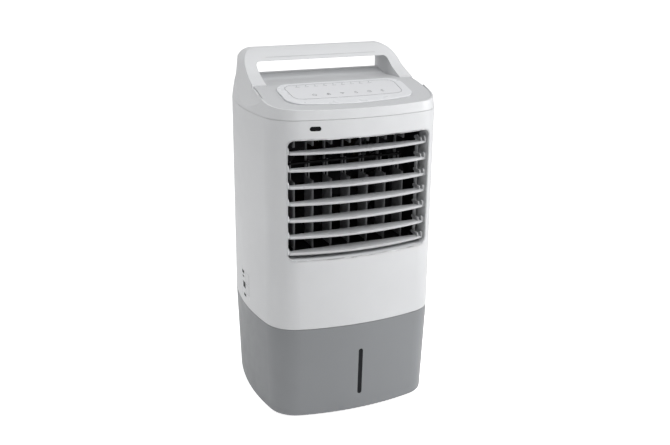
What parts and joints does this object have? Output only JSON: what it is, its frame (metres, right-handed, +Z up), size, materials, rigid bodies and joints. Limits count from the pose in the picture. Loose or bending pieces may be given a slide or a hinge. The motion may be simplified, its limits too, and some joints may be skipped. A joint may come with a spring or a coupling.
{
  "type": "evaporative cooler",
  "caption": "Upright portable evaporative air cooler with tilting louvres, swinging vanes, a fan behind a wetted pad and a pull-out water tank.",
  "frame": {"origin": "centre of the footprint's bounding box, on the floor under the feet", "axes": "+Z up, -Y towards the front with the louvres, +X to the right seen from the front"},
  "size_m": [0.35, 0.304, 0.677],
  "materials": {
    "shell": "smooth white moulding with a soft sheen",
    "base_grey": "mid grey moulding with a soft sheen",
    "trim_grey": "light grey satin moulding",
    "panel": "white control panel",
    "keys": "printed touch membrane",
    "smoked": "dark infrared window",
    "window_clear": "dark, clear water level window",
    "louvre_white": "white louvre",
    "vane_black": "dark grey vane",
    "link_white": "white link bar",
    "rubber": "black rubber",
    "board": "green circuit board",
    "inner_black": "black inner moulding",
    "fan_plastic": "black fan plastic",
    "steel": "zinc plated steel",
    "black_steel": "black painted steel",
    "motor_paint": "grey enamelled motor",
    "pump_plastic": "dark moulded plastic",
    "hose_silicone": "translucent hose",
    "paper_pad": "dark fluted cellulose pad",
    "grille": "white moulding",
    "filter_mesh": "fine dark mesh",
    "tank_plastic": "translucent tank plastic"
  },
  "bodies": {
    "body": {"base_shell": "base_grey", "body_shell": "shell", "bracket_screws": "steel", "control_board": "board", "control_panel": "panel", "cooling_pad": "paper_pad", "cord_gland": "rubber", "cover_screws": "steel", "drip_tray": "inner_black", "fan_motor": "motor_paint", "fan_shroud": "inner_black", "feet": "rubber", "ir_receiver": "board", "ir_window": "smoked", "key_membrane": "keys", "level_window": "window_clear", "motor_bracket": "black_steel", "motor_capacitor": "pump_plastic", "outlet_frame": "shell", "pad_frame": "inner_black", "pump_body": "pump_plastic", "pump_bracket": "steel", "swing_motor": "motor_paint", "top_cover": "shell", "top_surround": "trim_grey", "vane_duct": "vane_black", "water_distributor": "inner_black", "water_hose": "hose_silicone"},
    "tank": {"water_tank": "tank_plastic", "tank_face": "base_grey"},
    "latch": {"tank_latch": "base_grey"},
    "fan": {"fan_rotor": "fan_plastic", "fan_shaft": "steel"},
    "impeller": {"pump_impeller": "pump_plastic"},
    "intake": {"rear_grille": "grille", "dust_filter": "filter_mesh"},
    "louvre_bar": {"louvre_link": "link_white"},
    "vane_bar": {"vane_link": "vane_black"},
    "louvre_1": {"louvre_1": "louvre_white"},
    "louvre_2": {"louvre_2": "louvre_white"},
    "louvre_3": {"louvre_3": "louvre_white"},
    "louvre_4": {"louvre_4": "louvre_white"},
    "louvre_5": {"louvre_5": "louvre_white"},
    "louvre_6": {"louvre_6": "louvre_white"},
    "louvre_7": {"louvre_7": "louvre_white"},
    "vane_1": {"vane_1": "vane_black"},
    "vane_2": {"vane_2": "vane_black"},
    "vane_3": {"vane_3": "vane_black"},
    "vane_4": {"vane_4": "vane_black"},
    "vane_5": {"vane_5": "vane_black"},
    "vane_6": {"vane_6": "vane_black"},
    "vane_7": {"vane_7": "vane_black"}
  },
  "joints": [
    {"name": "louvre_1_tilt", "type": "hinge", "parent": "body", "child": "louvre_1", "pos_m": [0, -0.118, 0.524], "axis": [1, 0, 0], "range_deg": [-25, 12]},
    {"name": "louvre_2_tilt", "type": "hinge", "parent": "body", "child": "louvre_2", "pos_m": [0, -0.118, 0.493], "axis": [1, 0, 0], "range_deg": [-25, 12]},
    {"name": "louvre_3_tilt", "type": "hinge", "parent": "body", "child": "louvre_3", "pos_m": [0, -0.118, 0.462], "axis": [1, 0, 0], "range_deg": [-25, 12]},
    {"name": "louvre_4_tilt", "type": "hinge", "parent": "body", "child": "louvre_4", "pos_m": [0, -0.118, 0.431], "axis": [1, 0, 0], "range_deg": [-25, 12]},
    {"name": "louvre_5_tilt", "type": "hinge", "parent": "body", "child": "louvre_5", "pos_m": [0, -0.118, 0.4], "axis": [1, 0, 0], "range_deg": [-25, 12]},
    {"name": "louvre_6_tilt", "type": "hinge", "parent": "body", "child": "louvre_6", "pos_m": [0, -0.118, 0.369], "axis": [1, 0, 0], "range_deg": [-25, 12]},
    {"name": "louvre_7_tilt", "type": "hinge", "parent": "body", "child": "louvre_7", "pos_m": [0, -0.118, 0.338], "axis": [1, 0, 0], "range_deg": [-25, 12]},
    {"name": "louvre_bar_turn", "type": "hinge", "parent": "louvre_1", "child": "louvre_bar", "pos_m": [0.1306, -0.098, 0.524], "axis": [1, 0, 0], "range_deg": [-12, 25]},
    {"name": "vane_1_swing", "type": "hinge", "parent": "body", "child": "vane_1", "pos_m": [-0.1098, -0.082, 0.434], "axis": [0, 0, 1], "range_deg": [-30, 30]},
    {"name": "vane_2_swing", "type": "hinge", "parent": "body", "child": "vane_2", "pos_m": [-0.0732, -0.082, 0.434], "axis": [0, 0, 1], "range_deg": [-30, 30]},
    {"name": "vane_3_swing", "type": "hinge", "parent": "body", "child": "vane_3", "pos_m": [-0.0366, -0.082, 0.434], "axis": [0, 0, 1], "range_deg": [-30, 30]},
    {"name": "vane_4_swing", "type": "hinge", "parent": "body", "child": "vane_4", "pos_m": [0, -0.082, 0.434], "axis": [0, 0, 1], "range_deg": [-30, 30]},
    {"name": "vane_5_swing", "type": "hinge", "parent": "body", "child": "vane_5", "pos_m": [0.0366, -0.082, 0.434], "axis": [0, 0, 1], "range_deg": [-30, 30]},
    {"name": "vane_6_swing", "type": "hinge", "parent": "body", "child": "vane_6", "pos_m": [0.0732, -0.082, 0.434], "axis": [0, 0, 1], "range_deg": [-30, 30]},
    {"name": "vane_7_swing", "type": "hinge", "parent": "body", "child": "vane_7", "pos_m": [0.1098, -0.082, 0.434], "axis": [0, 0, 1], "range_deg": [-30, 30]},
    {"name": "vane_bar_turn", "type": "hinge", "parent": "vane_4", "child": "vane_bar", "pos_m": [0, -0.064, 0.486], "axis": [0, 0, 1], "range_deg": [-30, 30]},
    {"name": "fan_spin", "type": "hinge", "parent": "body", "child": "fan", "pos_m": [0, 0, 0.434], "axis": [0, 1, 0], "continuous": true},
    {"name": "impeller_spin", "type": "hinge", "parent": "body", "child": "impeller", "pos_m": [0.1, 0.07, 0.03], "axis": [0, 0, 1], "continuous": true},
    {"name": "tank_slide", "type": "slide", "parent": "body", "child": "tank", "axis": [0, 1, 0], "range_m": [0, 0.15]},
    {"name": "latch_turn", "type": "hinge", "parent": "tank", "child": "latch", "pos_m": [0.085, 0.14, 0.17], "axis": [0, -1, 0], "range_deg": [0, 90]},
    {"name": "intake_pull", "type": "slide", "parent": "body", "child": "intake", "axis": [0, 1, 0], "range_m": [0, 0.12]}
  ],
  "couplings": [
    {"joint": "louvre_2_tilt", "follows": "louvre_1_tilt", "ratio": 1},
    {"joint": "louvre_3_tilt", "follows": "louvre_1_tilt", "ratio": 1},
    {"joint": "louvre_4_tilt", "follows": "louvre_1_tilt", "ratio": 1},
    {"joint": "louvre_5_tilt", "follows": "louvre_1_tilt", "ratio": 1},
    {"joint": "louvre_6_tilt", "follows": "louvre_1_tilt", "ratio": 1},
    {"joint": "louvre_7_tilt", "follows": "louvre_1_tilt", "ratio": 1},
    {"joint": "louvre_bar_turn", "follows": "louvre_1_tilt", "ratio": -1},
    {"joint": "vane_1_swing", "follows": "vane_4_swing", "ratio": 1},
    {"joint": "vane_2_swing", "follows": "vane_4_swing", "ratio": 1},
    {"joint": "vane_3_swing", "follows": "vane_4_swing", "ratio": 1},
    {"joint": "vane_5_swing", "follows": "vane_4_swing", "ratio": 1},
    {"joint": "vane_6_swing", "follows": "vane_4_swing", "ratio": 1},
    {"joint": "vane_7_swing", "follows": "vane_4_swing", "ratio": 1},
    {"joint": "vane_bar_turn", "follows": "vane_4_swing", "ratio": -1}
  ]
}
